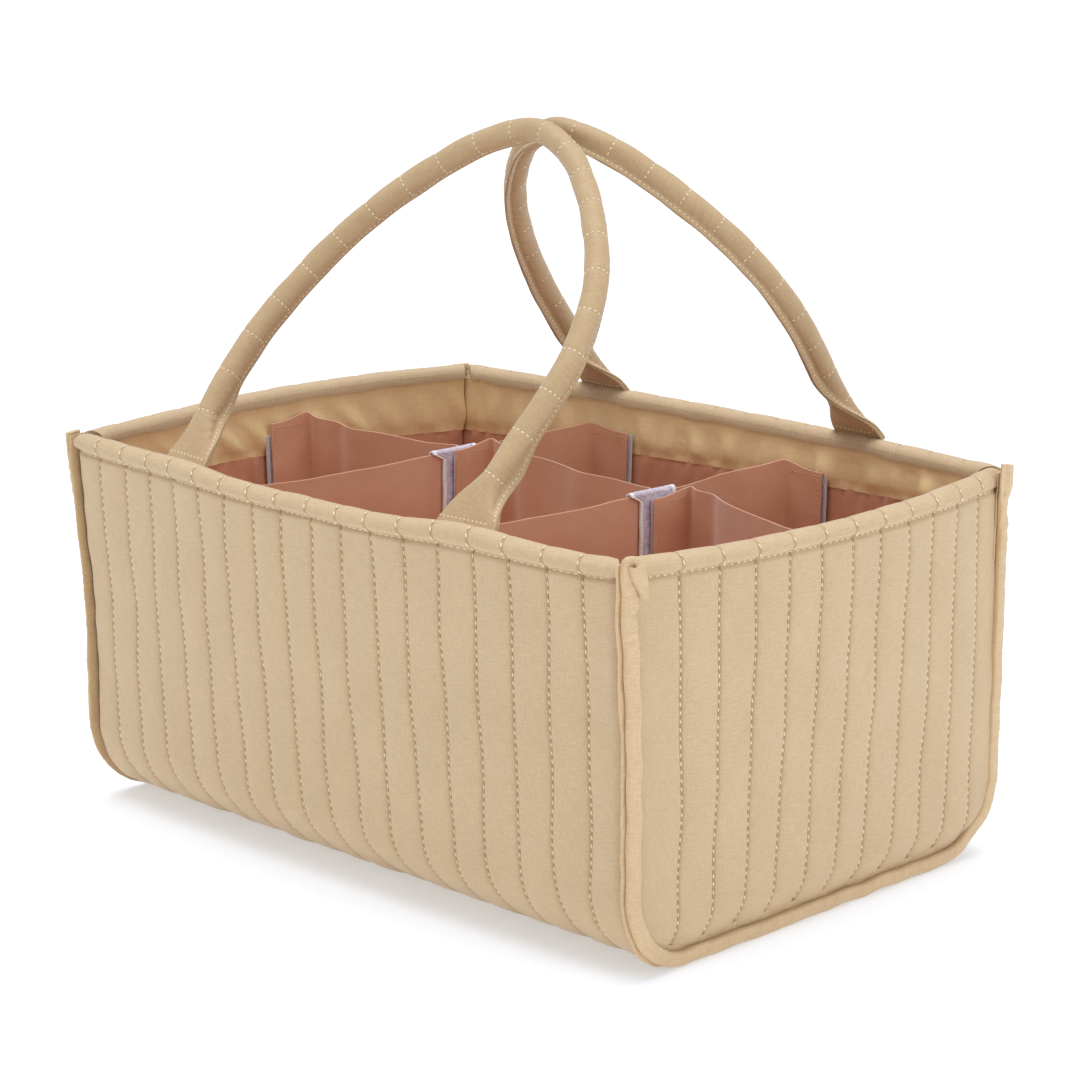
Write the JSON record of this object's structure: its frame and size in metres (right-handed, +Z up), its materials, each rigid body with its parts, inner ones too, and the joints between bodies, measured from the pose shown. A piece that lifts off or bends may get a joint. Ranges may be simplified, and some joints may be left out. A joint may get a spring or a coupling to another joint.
{
  "type": "diaper caddy",
  "caption": "Soft open-topped caddy in channel-quilted fabric, with bound end seams, padded handles that lean over its rim, and hook-and-loop dividers inside.",
  "frame": {"origin": "on the floor, under the middle of the caddy's bounding box", "axes": "+X along the long walls to the right, +Y to the rear wall, +Z up"},
  "size_m": [0.387, 0.2812, 0.3403],
  "materials": {
    "quilt": "channel-quilted satin-weave cotton",
    "facing": "plain woven cotton",
    "lining": "smooth nylon lining",
    "tape": "hook-and-loop tape",
    "foam": "soft foam",
    "board": "plain stiffener board"
  },
  "bodies": {
    "shell": {"quilted_wrap": "quilt", "quilted_end_left": "quilt", "quilted_end_right": "quilt", "binding_left": "quilt", "binding_right": "quilt", "foam_front": "foam", "foam_rear": "foam", "foam_left": "foam", "foam_right": "foam", "base_board": "board", "facing_front": "facing", "facing_rear": "facing", "facing_left": "facing", "facing_right": "facing", "lining_wrap": "lining", "lining_left": "lining", "lining_right": "lining", "wall_loop_front_left": "tape", "wall_loop_front_right": "tape", "wall_loop_rear_left": "tape", "wall_loop_rear_right": "tape", "wall_loop_left": "tape", "wall_loop_right": "tape"},
    "front_handle": {"front_handle_cloth": "quilt", "front_handle_core": "foam"},
    "rear_handle": {"rear_handle_cloth": "quilt", "rear_handle_core": "foam"},
    "cross_divider_left_body": {"cross_divider_left": "lining", "cross_loop_left": "tape", "cross_hook_left_front": "tape", "cross_hook_left_rear": "tape"},
    "cross_divider_right_body": {"cross_divider_right": "lining", "cross_loop_right": "tape", "cross_hook_right_front": "tape", "cross_hook_right_rear": "tape"},
    "long_divider_left_body": {"long_divider_left": "lining", "long_hook_left_left": "tape", "long_hook_left_right": "tape"},
    "long_divider_middle_body": {"long_divider_middle": "lining", "long_hook_middle_left": "tape", "long_hook_middle_right": "tape"},
    "long_divider_right_body": {"long_divider_right": "lining", "long_hook_right_left": "tape", "long_hook_right_right": "tape"}
  },
  "joints": [
    {"name": "front_handle_fold", "type": "hinge", "parent": "shell", "child": "front_handle", "pos_m": [-0.0055, -0.1317, 0.1863], "axis": [1, 0, 0], "range_deg": [0, 130]},
    {"name": "rear_handle_fold", "type": "hinge", "parent": "shell", "child": "rear_handle", "pos_m": [0.0025, 0.1324, 0.1863], "axis": [-1, 0, 0], "range_deg": [0, 130]},
    {"name": "cross_divider_left_lift", "type": "slide", "parent": "shell", "child": "cross_divider_left_body", "axis": [0, 0, 1], "range_m": [0, 0.02]},
    {"name": "cross_divider_right_lift", "type": "slide", "parent": "shell", "child": "cross_divider_right_body", "axis": [0, 0, 1], "range_m": [0, 0.02]},
    {"name": "long_divider_left_lift", "type": "slide", "parent": "shell", "child": "long_divider_left_body", "axis": [0, 0, 1], "range_m": [0, 0.19]},
    {"name": "long_divider_middle_lift", "type": "slide", "parent": "shell", "child": "long_divider_middle_body", "axis": [0, 0, 1], "range_m": [0, 0.1]},
    {"name": "long_divider_right_lift", "type": "slide", "parent": "shell", "child": "long_divider_right_body", "axis": [0, 0, 1], "range_m": [0, 0.11]}
  ]
}
